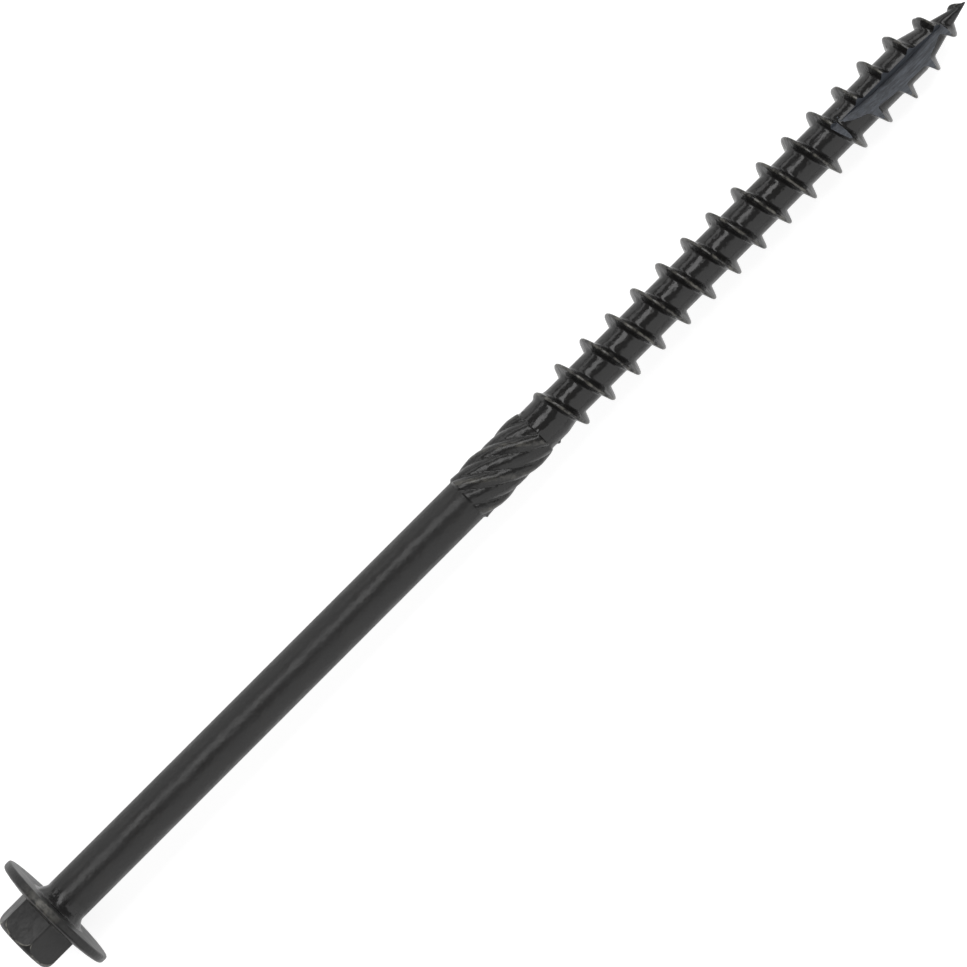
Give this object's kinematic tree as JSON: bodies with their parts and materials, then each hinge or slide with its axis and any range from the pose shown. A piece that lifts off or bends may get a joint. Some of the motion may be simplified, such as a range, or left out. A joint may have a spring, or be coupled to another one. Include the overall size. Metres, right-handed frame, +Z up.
{
  "type": "structural wood screw",
  "caption": "Long structural wood screw with a hex washer head, plain shank, reaming ridges, coarse thread and slash-cut point.",
  "frame": {"origin": "centre of the footprint on the surface that the screw lies on", "axes": "+X along the screw from the head to the tip, +Z up, +Y to the left of the tip; the screw's own axis dips 1.71 degrees towards the tip, because it rests on its flange and on the crests next to the point"},
  "size_m": [0.1586, 0.0164, 0.0164],
  "materials": {
    "black_coating": "black corrosion-resistant coating on case-hardened steel, satin with some gloss"
  },
  "bodies": {
    "root": {"screw": "black_coating"}
  },
  "joints": []
}
